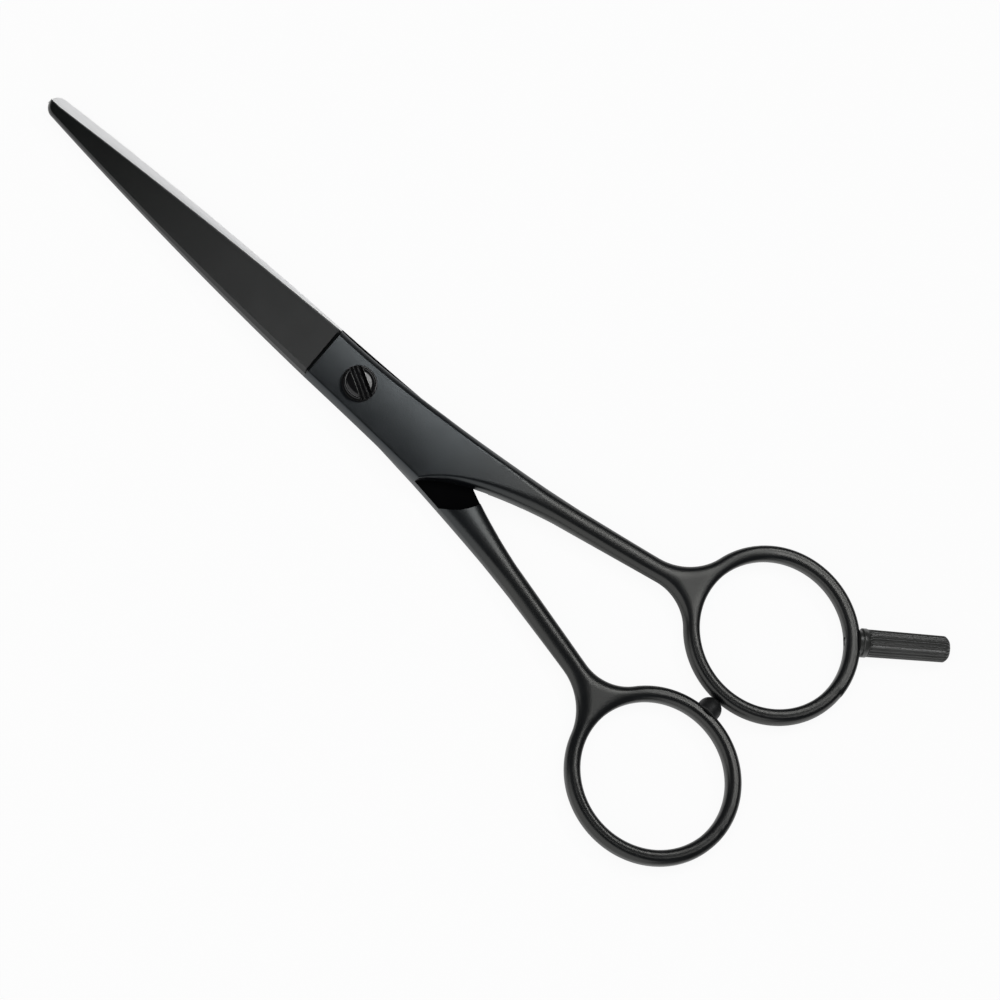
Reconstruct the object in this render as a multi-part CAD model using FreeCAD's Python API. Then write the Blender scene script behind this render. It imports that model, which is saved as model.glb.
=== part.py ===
"""Hair cutting shears, closed and lying flat: two halves that turn on a slotted tension screw.

Millimetres. The origin is on the pivot axis, in the plane of the thumb shank's back face, on which the
shears lie. +Z is up, +X runs from the pivot to the finger rings, and +Y is the finger side. The blades
point to -X. Each half is drawn in its own half frame, whose x-y plane lies midway between the two ride
faces and whose +y points to that half's own ring and +z to its own outer face. The finger half is lifted
into place, and the thumb half is turned over about the x axis.
"""

import FreeCAD
import Part
import math
import os

Vector = FreeCAD.Vector

# Layout in plan
centre_line_y = 0.77          # the handles' line of symmetry, from the pivot axis
step_reach = 6.5              # pivot axis to the step where a blade meets its shank
blade_reach = 58.6            # pivot axis to the round tip of a blade
ring_reach = 67.3             # pivot axis to the ring centres, along x
ring_spread = 14.15           # line of symmetry to each ring centre

# Thicknesses
shank_thickness = 2.2
ride_gap = 0.06               # running gap between the two ride faces
bar_half_height = 1.25        # the rings, and the rods' inner sides, from the half frame's plane

# Finger rings, and the rounding of everything that a hand touches
ring_bore_radius = 10.8
ring_band = 2.25
edge_roll = 0.9               # rounded edges of the rods and rings
spine_roll = 0.2              # the much finer rounding on the shank's spine side

# Shank and rod outline, in the half frame
shank_edge_side = 3.83        # half the shank's width at the step, on the cutting side
shank_spine_side = 4.68       # and on the spine side
shank_spine_middle = (4.2, -4.92)
heel = (14.9, -5.3)           # the corner where the shank ends and the rod begins
inner_flare_pulls = ((18.0, -1.0), (26.0, 2.6))
inner_rod_start = (34.0, 4.6)
inner_rod_slope = 0.2275
outer_flare_pull = (13.0, 3.73)
outer_flare_run = 12.0        # length along x over which the flare has turned into the rod
outer_rod_start = (36.0, 8.6)
outer_rod_slope = 0.215
neck_outer_radius = 9.0       # hollow corners where the rod spreads into its ring
neck_inner_radius = 7.0
fall_start = 30.0             # the outer face falls from shank height to ring height between these
fall_end = 50.0

# Ride pocket: the inner half of the rod stops here, clear of the other shank
pocket_centre = (17.0, -0.8)
pocket_radius = 7.3

# Blades, in the half frame
blade_spine_root = -4.67
blade_edge_root = 4.38
finger_blade_tip = -0.1       # middle of each tip: the closed blades cross a little
thumb_blade_tip = -1.3
blade_tip_width = 1.6
spine_bow = 0.55              # how far the spine bows out from its chord
edge_bow = 0.32
spine_height_root = 1.7
spine_height_tip = 0.75
spine_bevel_root = 0.45
spine_bevel_tip = 0.15
spine_wall_share = 0.62       # the upright part of the spine, as a share of its height
whet_width = 0.3              # the sharpened bevel along the cutting edge
whet_height = 0.34
edge_height = 0.04
ride_line_width = 0.4         # the flat land that hollow grinding leaves along edge and spine
hollow_depth = 0.14
hollow_least = 0.01
blade_stations = 7            # cross-sections that each blade is lofted through
mid_swell = 4                 # makes share * (1 - share) reach 1 at the middle of a blade
hollow_swell = 27 / 4         # makes share * (1 - share) ** 2 reach 1 a third of the way out

# Pivot screw, with the bush and the washer that it turns in
screw_head_radius = 2.5
screw_head_height = 0.95
screw_head_bevel = 0.42
screw_shoulder = 0.14         # the bevel's upper facet starts this far below the top
screw_crown = 0.1             # how far the head's top swells in the middle
slot_width = 1.9
slot_depth = 0.6
slot_angle = -30.0            # in plan, from +x
journal_radius = 1.7
thread_radius = 1.5
screw_end_recess = 0.15       # the screw's end stops short of the back face
running_clearance = 0.03
bush_wall = 0.5
washer_thickness = 0.2
washer_overhang = 0.1

# Bumper on the thumb ring
bumper_radius = 1.75
bumper_clearance = 0.08       # to the finger ring when the shears are closed
bumper_seat = 0.6             # how far its foot reaches round the ring
bumper_stem_radius = 0.6
bumper_stem_length = 1.5
dome_steps = 8

# Finger rest on the finger ring
rest_angle = 39.5             # round the ring, from +x
rest_length = 13.1            # from the ring's outer face to the end
rest_radius_root = 1.98
rest_radius_end = 1.86
rest_chamfer = 0.45
rest_seat = 0.3               # how far its foot reaches round the ring
collar_radius = 2.08
collar_length = 0.75
neck_length = 0.2             # the thin necks before and behind the collar
neck_radius = 1.5
flute_count = 24
flute_depth = 0.13
stud_radius = 0.6
stud_recess = 0.15            # its end stops short of the ring's bore, in a hole that goes through
root_overlap = 0.2            # how far a stud or stem runs back into the piece that it belongs to

# Worked out from the above
middle_height = shank_thickness + ride_gap / 2
ride_height = ride_gap / 2
outer_height = ride_height + shank_thickness
ring_radius = ring_bore_radius + ring_band
bush_radius = journal_radius + running_clearance + bush_wall
beyond_all = 2 * ring_reach   # further out than any piece, for cuts that go right through


def line(a, b):
    return Part.LineSegment(Vector(*a), Vector(*b)).toShape()


def arc(a, middle, b):
    return Part.Arc(Vector(*a), Vector(*middle), Vector(*b)).toShape()


def bezier(*points):
    curve = Part.BezierCurve()
    curve.setPoles([Vector(*p) for p in points])
    return curve.toShape()


def level(point, height=0.0):
    return (point[0], point[1], height)


def prism(edges, low, high):
    """A flat outline raised from one height to another."""
    face = Part.Face(Part.Wire(edges))
    face.translate(Vector(0, 0, low))
    return face.extrude(Vector(0, 0, high - low))


def cylinder(radius, start, axis, length):
    return Part.makeCylinder(radius, length, Vector(*start), Vector(*axis))


def turned(profile, start, axis):
    """A solid turned about an axis, from (distance along it, radius) points, first and last on it."""
    points = [Vector(radius, 0, along) for along, radius in profile]
    wire = Part.makePolygon(points + [points[0]])
    solid = Part.Face(wire).revolve(Vector(0, 0, 0), Vector(0, 0, 1), 360)
    turn = FreeCAD.Rotation(Vector(0, 0, 1), Vector(*axis))
    solid.Placement = FreeCAD.Placement(Vector(*start), turn)
    return solid


def lay_finger(shape):
    """Lifts a shape from the half frame to its place in the finger half."""
    laid = shape.copy()
    laid.translate(Vector(0, centre_line_y, middle_height))
    return laid


def lay_thumb(shape):
    """Turns a shape from the half frame over to its place in the thumb half."""
    laid = shape.copy()
    laid.rotate(Vector(0, 0, 0), Vector(1, 0, 0), 180)
    laid.translate(Vector(0, centre_line_y, middle_height))
    return laid


def neck_arc(start, slope, side, radius):
    """The hollow corner between a straight rod edge and the ring: on the rod, its middle, on the ring.

    Its centre lies a radius off the rod's edge and a radius off the ring.
    """
    length = math.hypot(1, slope)
    along = Vector(1 / length, slope / length, 0)
    off = Vector(-side * along.y, side * along.x, 0)
    ring = Vector(ring_reach, ring_spread, 0)
    base = Vector(*level(start)) + off * radius
    ahead = (ring - base).dot(along)
    aside = (ring - base).dot(off)
    centre = base + along * (ahead - math.sqrt((ring_radius + radius) ** 2 - aside ** 2))
    to_ring = (ring - centre).normalize()
    halfway = (to_ring - off).normalize()
    return [centre + direction * radius for direction in (off * -1, halfway, to_ring)]


def handle_outline():
    """The plan of a handle without its ring's hole, anticlockwise from the step's spine corner."""
    step_spine = (-step_reach, -shank_spine_side, 0)
    step_edge = (-step_reach, shank_edge_side, 0)
    inner_neck = neck_arc(inner_rod_start, inner_rod_slope, -1, neck_inner_radius)
    outer_neck = neck_arc(outer_rod_start, outer_rod_slope, 1, neck_outer_radius)
    far_side = (ring_reach + ring_radius, ring_spread, 0)
    outer_pull = (outer_rod_start[0] - outer_flare_run,
                  outer_rod_start[1] - outer_flare_run * outer_rod_slope, 0)
    return [
        arc(step_spine, level(shank_spine_middle), level(heel)),
        bezier(level(heel), *[level(p) for p in inner_flare_pulls], level(inner_rod_start)),
        line(level(inner_rod_start), inner_neck[0]),
        arc(*inner_neck),
        arc(inner_neck[2], far_side, outer_neck[2]),
        arc(*reversed(outer_neck)),
        line(outer_neck[0], level(outer_rod_start)),
        bezier(level(outer_rod_start), outer_pull, level(outer_flare_pull), step_edge),
        line(step_edge, step_spine),
    ]


def handle_side():
    """The handle seen from the side: shank height, a gentle fall along the rod, ring height."""
    third = (fall_end - fall_start) / 3
    low_left = (-beyond_all, -beyond_all, -bar_half_height)
    low_right = (beyond_all, -beyond_all, -bar_half_height)
    top_right = (beyond_all, -beyond_all, bar_half_height)
    fall = [
        (fall_end, -beyond_all, bar_half_height),
        (fall_end - third, -beyond_all, bar_half_height),
        (fall_start + third, -beyond_all, outer_height),
        (fall_start, -beyond_all, outer_height),
    ]
    top_left = (-beyond_all, -beyond_all, outer_height)
    edges = [
        line(low_left, low_right),
        line(low_right, top_right),
        line(top_right, fall[0]),
        bezier(*fall),
        line(fall[3], top_left),
        line(top_left, low_left),
    ]
    return Part.Face(Part.Wire(edges)).extrude(Vector(0, 2 * beyond_all, 0))


def ride_pocket():
    """What is missing from the inner side of a half: all below the ride face, out to the round step."""
    past_blade = Part.makeBox(beyond_all + pocket_centre[0], 2 * beyond_all, beyond_all,
                              Vector(-beyond_all, -beyond_all, ride_height - beyond_all))
    nose = cylinder(pocket_radius, level(pocket_centre, ride_height - beyond_all), (0, 0, 1), beyond_all)
    return past_blade.fuse(nose)


def is_spine_rim(edge):
    """True for the rims that run along the shank's spine side, up to the heel."""
    box = edge.BoundBox
    return box.XMax < heel[0] + edge_roll and box.YMax < -edge_roll and box.ZLength < spine_roll


def handle():
    """Shank, rod and ring in one forging, in the half frame, before its bores are drilled."""
    blank = prism(handle_outline(), -2 * bar_half_height, 2 * outer_height)
    hole = cylinder(ring_bore_radius, (ring_reach, ring_spread, -beyond_all), (0, 0, 1), 2 * beyond_all)
    blank = blank.cut(hole).common(handle_side()).removeSplitter().Solids[0]
    rims = [edge for edge in blank.Edges if edge.BoundBox.XLength > spine_roll]
    rolled = blank.makeFillet(edge_roll, [edge for edge in rims if not is_spine_rim(edge)])
    rims = [edge for edge in rolled.Edges if edge.BoundBox.XLength > step_reach and is_spine_rim(edge)]
    rolled = rolled.makeFillet(spine_roll, rims)
    return rolled.cut(ride_pocket())


def blade_section(share, tip_middle):
    """A blade's cross-section, at a share of the way from its root to its tip.

    From the foot of the spine: up the spine's wall, over its bevel, down the face to the whetted bevel and
    the edge, and back along the ride face, which is hollow between two lands.
    """
    x = -step_reach - share * (blade_reach - step_reach)
    swell = mid_swell * share * (1 - share)
    spine = blade_spine_root + (tip_middle - blade_tip_width / 2 - blade_spine_root) * share
    spine -= spine_bow * swell
    edge = blade_edge_root + (tip_middle + blade_tip_width / 2 - blade_edge_root) * share
    edge += edge_bow * swell
    height = spine_height_root + (spine_height_tip - spine_height_root) * share
    bevel = spine_bevel_root + (spine_bevel_tip - spine_bevel_root) * share
    hollow = hollow_least + hollow_depth * hollow_swell * share * (1 - share) ** 2
    floor = ride_height
    corners = [
        (x, spine, floor),
        (x, spine, floor + spine_wall_share * height),
        (x, spine + bevel, floor + height),
        (x, edge - whet_width, floor + whet_height),
        (x, edge, floor + edge_height),
        (x, edge - ride_line_width, floor),
    ]
    spine_land = (x, spine + ride_line_width, floor)
    middle = (x, (spine + edge) / 2, floor + hollow)
    edges = [line(a, b) for a, b in zip(corners, corners[1:])]
    edges.append(arc(corners[-1], middle, spine_land))
    edges.append(line(spine_land, corners[0]))
    return Part.Wire(edges), spine, edge


def blade(tip_middle):
    """A hollow-ground blade in the half frame, its tip rounded in plan."""
    shares = [i / (blade_stations - 1) for i in range(blade_stations)]
    solid = Part.makeLoft([blade_section(share, tip_middle)[0] for share in shares], True, False)
    nose_share = 1 - blade_tip_width / 2 / (blade_reach - step_reach)
    spine, edge = blade_section(nose_share, tip_middle)[1:]
    nose_radius = (edge - spine) / 2
    nose_centre = (nose_radius - blade_reach, (spine + edge) / 2, -beyond_all)
    beyond = Part.makeBox(beyond_all, 2 * beyond_all, 2 * beyond_all,
                          Vector(nose_centre[0] - beyond_all, -beyond_all, -beyond_all))
    nose = cylinder(nose_radius, nose_centre, (0, 0, 1), 2 * beyond_all)
    return solid.cut(beyond.cut(nose))


def pivot_screw():
    """Slotted screw: thread in the thumb half, journal in the finger half's bush, head on top."""
    seat = middle_height + outer_height + washer_thickness + running_clearance
    top = seat + screw_head_height
    rim = screw_head_radius - screw_head_bevel
    screw = turned([
        (screw_end_recess, 0),
        (screw_end_recess, thread_radius),
        (middle_height, thread_radius),
        (middle_height, journal_radius),
        (seat, journal_radius),
        (seat, screw_head_radius),
        (top - screw_head_bevel, screw_head_radius),
        (top - screw_shoulder, screw_head_radius - screw_shoulder),
        (top - screw_crown, rim),
        (top - screw_crown / 4, rim / 2),
        (top, 0),
    ], (0, 0, 0), (0, 0, 1))
    slot = Part.makeBox(4 * screw_head_radius, slot_width, screw_head_height,
                        Vector(-2 * screw_head_radius, -slot_width / 2, top - slot_depth))
    slot.rotate(Vector(0, 0, 0), Vector(0, 0, 1), slot_angle)
    return screw.cut(slot)


def sleeve(outer_radius, low, high):
    """A ring round the screw's journal, with running clearance."""
    outside = cylinder(outer_radius, (0, 0, low), (0, 0, 1), high - low)
    bore = cylinder(journal_radius + running_clearance, (0, 0, low), (0, 0, 1), high - low)
    return outside.cut(bore)


def bumper_stem():
    """The bumper's stem, in the half frame, from its end inside the ring's band outwards."""
    end = ring_spread - ring_radius + bumper_stem_length
    return cylinder(bumper_stem_radius, (ring_reach, end, 0), (0, -1, 0), bumper_stem_length + root_overlap)


def bumper(ring):
    """Rubber stop on the thumb ring: a dome whose foot is hollowed to the ring's round side."""
    height = 2 * (ring_spread - ring_radius) - bumper_clearance
    shoulder = height - bumper_radius
    rises = [i * math.pi / 2 / dome_steps for i in range(dome_steps)]
    dome = [(shoulder + bumper_radius * math.sin(rise), bumper_radius * math.cos(rise)) for rise in rises]
    profile = [(-bumper_seat, 0), (-bumper_seat, bumper_radius)] + dome + [(height, 0)]
    body = turned(profile, (ring_reach, ring_spread - ring_radius, 0), (0, -1, 0))
    return body.cut(ring).fuse(bumper_stem()).removeSplitter()


def rest_direction():
    angle = math.radians(rest_angle)
    return Vector(math.cos(angle), math.sin(angle), 0)


def rest_rod(inner, outer):
    """A rod of the stud's radius on the finger rest's axis, between two distances from the ring's centre."""
    start = Vector(ring_reach, ring_spread, 0) + rest_direction() * inner
    return Part.makeCylinder(stud_radius, outer - inner, start, rest_direction())


def star(radius, along):
    """A fluted cross-section: as many shallow grooves as there are flutes."""
    points = []
    for i in range(2 * flute_count):
        angle = i * math.pi / flute_count
        here = radius if i % 2 == 0 else radius - flute_depth
        points.append(Vector(here * math.cos(angle), here * math.sin(angle), along))
    return Part.makePolygon(points + [points[0]])


def finger_rest(ring):
    """The screwed-in rest for the little finger: foot, collar, fluted body and a bevelled end."""
    collar_start = neck_length
    collar_end = collar_start + collar_length
    body_start = collar_end + neck_length
    start = Vector(ring_reach, ring_spread, 0) + rest_direction() * ring_radius
    base = turned([
        (-rest_seat, 0),
        (-rest_seat, neck_radius),
        (collar_start, neck_radius),
        (collar_start, collar_radius),
        (collar_end, collar_radius),
        (collar_end, neck_radius),
        (body_start, neck_radius),
        (body_start, 0),
    ], tuple(start), tuple(rest_direction()))
    fluted = Part.makeLoft([star(rest_radius_root, body_start), star(rest_radius_end, rest_length)],
                           True, True)
    fluted.Placement = FreeCAD.Placement(start, FreeCAD.Rotation(Vector(0, 0, 1), rest_direction()))
    bevelled = turned([
        (body_start, 0),
        (body_start, collar_radius),
        (rest_length - rest_chamfer, rest_radius_end),
        (rest_length, rest_radius_end - rest_chamfer),
        (rest_length, 0),
    ], tuple(start), tuple(rest_direction()))
    body = base.fuse(fluted.common(bevelled)).cut(ring)
    stud = rest_rod(ring_bore_radius + stud_recess, ring_radius + root_overlap)
    return body.fuse(stud).removeSplitter()


def main():
    os.makedirs("parts", exist_ok=True)
    ring_side = handle()
    whole_height = 2 * (middle_height + beyond_all)
    screw_hole = cylinder(thread_radius + running_clearance, (0, 0, -beyond_all), (0, 0, 1), whole_height)
    bush_hole = cylinder(bush_radius, (0, 0, -beyond_all), (0, 0, 1), whole_height)
    stud_hole = rest_rod(ring_bore_radius - root_overlap, ring_radius + root_overlap)
    finger_ride = middle_height + ride_height
    finger_top = middle_height + outer_height
    pieces = {
        "thumb_handle": lay_thumb(ring_side.cut(bumper_stem())).cut(screw_hole),
        "thumb_blade": lay_thumb(blade(thumb_blade_tip)),
        "bumper": lay_thumb(bumper(ring_side)),
        "finger_handle": lay_finger(ring_side.cut(stud_hole)).cut(bush_hole),
        "finger_blade": lay_finger(blade(finger_blade_tip)),
        "finger_rest": lay_finger(finger_rest(ring_side)),
        "pivot_bush": sleeve(bush_radius, finger_ride, finger_top),
        "friction_washer": sleeve(screw_head_radius + washer_overhang, finger_top,
                                  finger_top + washer_thickness),
        "pivot_screw": pivot_screw(),
    }
    for name, shape in pieces.items():
        box = shape.BoundBox
        print(name, shape.isValid(), len(shape.Solids), round(shape.Volume, 1),
              [round(v, 2) for v in (box.XMin, box.XMax, box.YMin, box.YMax, box.ZMin, box.ZMax)])
        shape.exportStep(f"parts/{name}.step")


main()
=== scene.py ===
import math

import bmesh
import bpy
import numpy as np
from mathutils import Matrix, Vector
from mathutils.geometry import delaunay_2d_cdt
from mathutils.kdtree import KDTree


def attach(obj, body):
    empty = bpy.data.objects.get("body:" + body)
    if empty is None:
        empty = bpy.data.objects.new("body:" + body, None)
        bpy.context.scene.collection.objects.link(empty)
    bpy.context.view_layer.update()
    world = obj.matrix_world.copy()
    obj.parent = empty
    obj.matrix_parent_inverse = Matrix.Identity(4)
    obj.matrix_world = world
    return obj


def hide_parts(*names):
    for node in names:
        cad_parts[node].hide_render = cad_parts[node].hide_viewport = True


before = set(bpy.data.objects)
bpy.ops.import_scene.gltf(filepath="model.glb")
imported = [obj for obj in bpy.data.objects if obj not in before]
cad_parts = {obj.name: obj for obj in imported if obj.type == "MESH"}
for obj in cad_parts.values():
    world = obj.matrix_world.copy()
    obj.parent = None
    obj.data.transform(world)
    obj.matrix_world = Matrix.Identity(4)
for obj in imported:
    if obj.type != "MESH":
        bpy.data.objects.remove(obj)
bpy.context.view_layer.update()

# The two handles: each is one steel forging with a flat shank, a rod and a finger ring, ground
# to shape, blasted and coated satin black. Both come from the same die, and one lies turned over
# on the other.
MM = 0.001
CENTRE_LINE = 0.77            # the handles' line of symmetry, off the pivot axis
MID_HEIGHT = 2.23             # the plane midway between the two ride faces, above the table
STEP_REACH = 6.5              # from the pivot to the step where the blade starts
# The outline, in millimetres, in the half's own frame: spine, then the rod's two sides.
SPINE_ARC = ((-6.5, -4.68), (4.2, -4.92), (14.9, -5.3))
INNER_FLARE = ((14.9, -5.3), (17.27, -2.47), (21.34, 0.76), (34.0, 4.42))
OUTER_FLARE = ((-6.5, 3.83), (6.81, 3.26), (31.59, 7.41), (36.0, 8.42))
INNER_SLOPE, OUTER_SLOPE = 0.249, 0.2341
NECK_INNER, NECK_OUTER = 7.0, 9.0       # radii of the hollows between rod and ring
RING_CENTRE = np.array((67.3, 14.15))
RING_BORE, RING_RADIUS = 10.8, 13.05
RIDE, FACE, BAR = 0.03, 2.23, 1.25      # heights above the half's middle plane
FALL = (30.0, 50.0)                     # where the rod thins from FACE to BAR
POCKET = (17.0, -0.8, 7.3)              # the end of the ride pocket: centre and radius
RIM_STEP, GRID_STEP = 0.16, 0.19


def arc_line(start, middle, end):
    """Points along the circle through three points."""
    (ax, ay), (bx, by), (cx, cy) = start, middle, end
    turn = 2 * (ax * (by - cy) + bx * (cy - ay) + cx * (ay - by))
    a, b, c = ax * ax + ay * ay, bx * bx + by * by, cx * cx + cy * cy
    centre = np.array((a * (by - cy) + b * (cy - ay) + c * (ay - by),
                       a * (cx - bx) + b * (ax - cx) + c * (bx - ax))) / turn
    first, halfway, last = (math.atan2(p[1] - centre[1], p[0] - centre[0])
                            for p in (start, middle, end))
    way = 1 if (halfway - first) % math.tau < (last - first) % math.tau else -1
    sweep = way * ((way * (last - first)) % math.tau)
    radius = math.hypot(ax - centre[0], ay - centre[1])
    angles = first + sweep * np.linspace(0, 1, max(3, round(abs(sweep) * radius / RIM_STEP)))
    return centre + radius * np.column_stack((np.cos(angles), np.sin(angles)))


def bezier_line(*pulls):
    """Points along a cubic curve with two end points and two pulls."""
    a, b, c, d = (np.array(p) for p in pulls)
    t = np.linspace(0, 1, round(np.linalg.norm(d - a) * 1.05 / RIM_STEP))[:, None]
    return (1 - t) ** 3 * a + 3 * t * (1 - t) ** 2 * b + 3 * t * t * (1 - t) * c + t ** 3 * d


def straight_line(a, b):
    steps = max(2, round(np.linalg.norm(np.subtract(b, a)) / RIM_STEP))
    return np.linspace(a, b, steps)


def neck_points(start, slope, side, radius):
    """The hollow corner between a rod's edge and its ring: start, middle and end."""
    along = np.array((1, slope)) / math.hypot(1, slope)
    off = side * np.array((-along[1], along[0]))
    base = np.array(start) + off * radius
    ahead, aside = (RING_CENTRE - base) @ along, (RING_CENTRE - base) @ off
    centre = base + along * (ahead - math.sqrt((RING_RADIUS + radius) ** 2 - aside ** 2))
    to_ring = (RING_CENTRE - centre) / np.linalg.norm(RING_CENTRE - centre)
    halfway = (to_ring - off) / np.linalg.norm(to_ring - off)
    return centre - off * radius, centre + halfway * radius, centre + to_ring * radius


def on_ring(degrees, radius=RING_RADIUS):
    angle = math.radians(degrees)
    return RING_CENTRE + radius * np.array((math.cos(angle), math.sin(angle)))


def joined(*lines):
    return np.vstack([lines[0]] + [line[1:] for line in lines[1:]])


inner_neck = neck_points(INNER_FLARE[3], INNER_SLOPE, -1, NECK_INNER)
outer_neck = neck_points(OUTER_FLARE[3], OUTER_SLOPE, 1, NECK_OUTER)
spine_rim = arc_line(*SPINE_ARC)
inner_rim = joined(bezier_line(*INNER_FLARE), straight_line(INNER_FLARE[3], inner_neck[0]),
                   arc_line(*inner_neck), arc_line(inner_neck[2], on_ring(-70), on_ring(0)))
outer_rim = joined(arc_line(on_ring(0), on_ring(70), outer_neck[2]), arc_line(*outer_neck[::-1]),
                   straight_line(outer_neck[0], OUTER_FLARE[3]), bezier_line(*OUTER_FLARE[::-1]))
step_rim = straight_line(outer_rim[-1], spine_rim[0])
handle_rim = joined(spine_rim, inner_rim, outer_rim, step_rim)[:-1]


def circle_line(centre, radius, step=RIM_STEP):
    angles = np.linspace(0, math.tau, round(math.tau * radius / step), endpoint=False)
    return np.array(centre) + radius * np.column_stack((np.cos(angles), np.sin(angles)))


def distance(points, line):
    """Distance of each point from a line, measured to the two runs beside its nearest corner."""
    tree = KDTree(len(line))
    for k, (x, y) in enumerate(line):
        tree.insert((x, y, 0), k)
    tree.balance()
    nearest = np.array([tree.find((x, y, 0))[1] for x, y in points])
    found = np.full(len(points), np.inf)
    for side in (-1, 0):
        k = np.clip(nearest + side, 0, len(line) - 2)
        run, to = line[k + 1] - line[k], points - line[k]
        t = np.clip((to * run).sum(1) / np.maximum((run * run).sum(1), 1e-12), 0, 1)
        found = np.minimum(found, np.linalg.norm(to - t[:, None] * run, axis=1))
    return found


def inside(points, rim):
    """True for the points within a closed rim."""
    (ax, ay), (bx, by) = rim[:-1].T, rim[1:].T
    crossings = np.zeros(len(points), int)
    for height in np.unique(points[:, 1]):
        row = points[:, 1] == height
        cut = (ay > height) != (by > height)
        at = ax[cut] + (height - ay[cut]) / (by[cut] - ay[cut]) * (bx[cut] - ax[cut])
        crossings[row] = (at[None] < points[row, :1]).sum(1)
    return crossings % 2 == 1


# How the edges roll off. Each table gives places along x and the values there, in millimetres.
SHANK_END = 14.9
CROWN_MIDDLE, CROWN_REACH = ((-6.5, SHANK_END, 30.0), (-0.45, -0.3, 5.3)), 4.2
CROWN_DROP = ((10.0, 24.0, 34.0), (0.13, 0.06, 0.0))
INNER_ROLL = ((SHANK_END, 20.0, 30.0, 46.0, 52.0, 56.8, 60.0),
              (0.22, 0.75, 1.9, 1.85, 2.1, 1.4, 1.2))
INNER_DROP = ((SHANK_END, 20.0, 30.0), (0.2, 0.9, 1.5))
OUTER_ROLL = ((14.0, 24.0, 31.0, 46.0, 51.0, 55.0, 58.0), (1.05, 1.3, 1.95, 2.05, 2.5, 1.7, 1.2))
OUTER_DROP = ((12.0, 30.0, 50.0, 60.0), (0.7, 1.5, 1.2, 0.9))
OUTER_SLACK = ((14.0, 30.0, 44.0), (0.5, 0.3, 0.1))
BORE_ROLL, BORE_DROP, BORE_SLACK = ((56.0, 60.0), (1.8, 1.1)), 0.9, 0.1
SPINE_ROLL, SPINE_DROP, SPINE_SLACK = 0.22, 0.2, 0.5
CREST_SOFTNESS = ((SHANK_END, 24.0, 34.0), (0.03, 0.12, 0.45))
UNDER_INNER_ROLL = ((15.0, 22.0, 30.0, 46.0, 52.0, 56.8, 60.0),
                    (4.2, 3.2, 2.1, 1.85, 2.1, 1.4, 1.2))
UNDER_INNER_DROP = ((SHANK_END, 30.0, 52.0, 60.0), (1.0, 1.25, 1.1, 0.9))
UNDER_OUTER_ROLL = ((15.0, 22.0, 30.0, 46.0, 51.0, 55.0, 58.0),
                    (4.2, 2.8, 2.0, 2.05, 2.5, 1.7, 1.2))
UNDER_OUTER_DROP = ((SHANK_END, 30.0, 52.0, 60.0), (1.1, 1.25, 1.1, 0.9))
UNDER_SOFTNESS = ((15.0, 30.0, 40.0), (0.5, 0.36, 0.24))
ROLL_SLACK = 0.12
GROOVE_DEPTH, GROOVE_MIDDLE, GROOVE_WIDTH = 0.03, 1.22, 0.2     # round each ring, from its bore
GROOVE_START, GROOVE_FADE = 57, 4


def rolled(depth, slack):
    """How far a rolled edge has dropped, from 1 at the rim to 0 where the roll has run out."""
    t = np.clip(1 - depth, 0, 1)
    return (1 - slack) * (1 - np.sqrt(1 - t * t)) + slack * t


def ring_groove(x, bore):
    """Depth of the shallow groove round a ring's band."""
    hollow = GROOVE_DEPTH * np.exp(-((bore - GROOVE_MIDDLE) / GROOVE_WIDTH) ** 2)
    return hollow * np.clip((x - GROOVE_START) / GROOVE_FADE, 0, 1)


def outer_face(points, depths):
    """Height of a handle's outer side: crowned shank, ridged rod, flat web and round ring."""
    x, y = points.T
    spine, inner, outer, bore = depths
    t = np.clip((x - FALL[0]) / (FALL[1] - FALL[0]), 0, 1)
    top = FACE + (BAR - FACE) * t * t * (3 - 2 * t)
    crown = ((y - np.interp(x, *CROWN_MIDDLE)) / CROWN_REACH) ** 2 * np.interp(x, *CROWN_DROP)
    drops = [
        np.interp(x, *INNER_DROP) * rolled(inner / np.interp(x, *INNER_ROLL), ROLL_SLACK),
        np.interp(x, *OUTER_DROP)
        * rolled(outer / np.interp(x, *OUTER_ROLL), np.interp(x, *OUTER_SLACK)),
        BORE_DROP * rolled(bore / np.interp(x, *BORE_ROLL), BORE_SLACK),
        SPINE_DROP * rolled(spine / SPINE_ROLL, SPINE_SLACK),
    ]
    return top - crown - ring_groove(x, bore) - soft_most(drops, np.interp(x, *CREST_SOFTNESS))


def inner_face(points, depths):
    """Height of a handle's inner side beyond its ride pocket."""
    x = points[:, 0]
    _, inner, outer, bore = depths
    drops = [
        np.interp(x, *UNDER_INNER_DROP)
        * rolled(inner / np.interp(x, *UNDER_INNER_ROLL), ROLL_SLACK),
        np.interp(x, *UNDER_OUTER_DROP)
        * rolled(outer / np.interp(x, *UNDER_OUTER_ROLL), ROLL_SLACK),
        BORE_DROP * rolled(bore / np.interp(x, *BORE_ROLL), BORE_SLACK),
    ]
    return -(BAR - ring_groove(x, bore) - soft_most(drops, np.interp(x, *UNDER_SOFTNESS)))


def soft_most(drops, softness):
    """The largest of several drops, with the crease between them eased."""
    most = np.array(drops[0])
    for drop in drops[1:]:
        gap = np.clip(0.5 + 0.5 * (drop - most) / softness, 0, 1)
        most = most + (drop - most) * gap + softness * gap * (1 - gap)
    return most


# The plan's points lie in rows beside the rims, and on a grid beyond them.
EDGE_ROWS, CREST_ROWS = (0.025, 0.08, 0.17, 0.28), np.arange(0.4, 2.3, 0.135)
ROD_START, POCKET_ROOM = 22, 2          # the deep rows start here, and this far off the pocket
SHANK_ROWS, ROD_ROWS = 1.3, 2.2         # how deep the rows reach
HOLE_STEP, GRID_ROOM, BAND_ROOM, WALL_ROOM = 0.1, 0.24, 0.34, (0.02, 0.12)
MEETING = 0.97                          # rows from two rims end where they would cross


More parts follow.
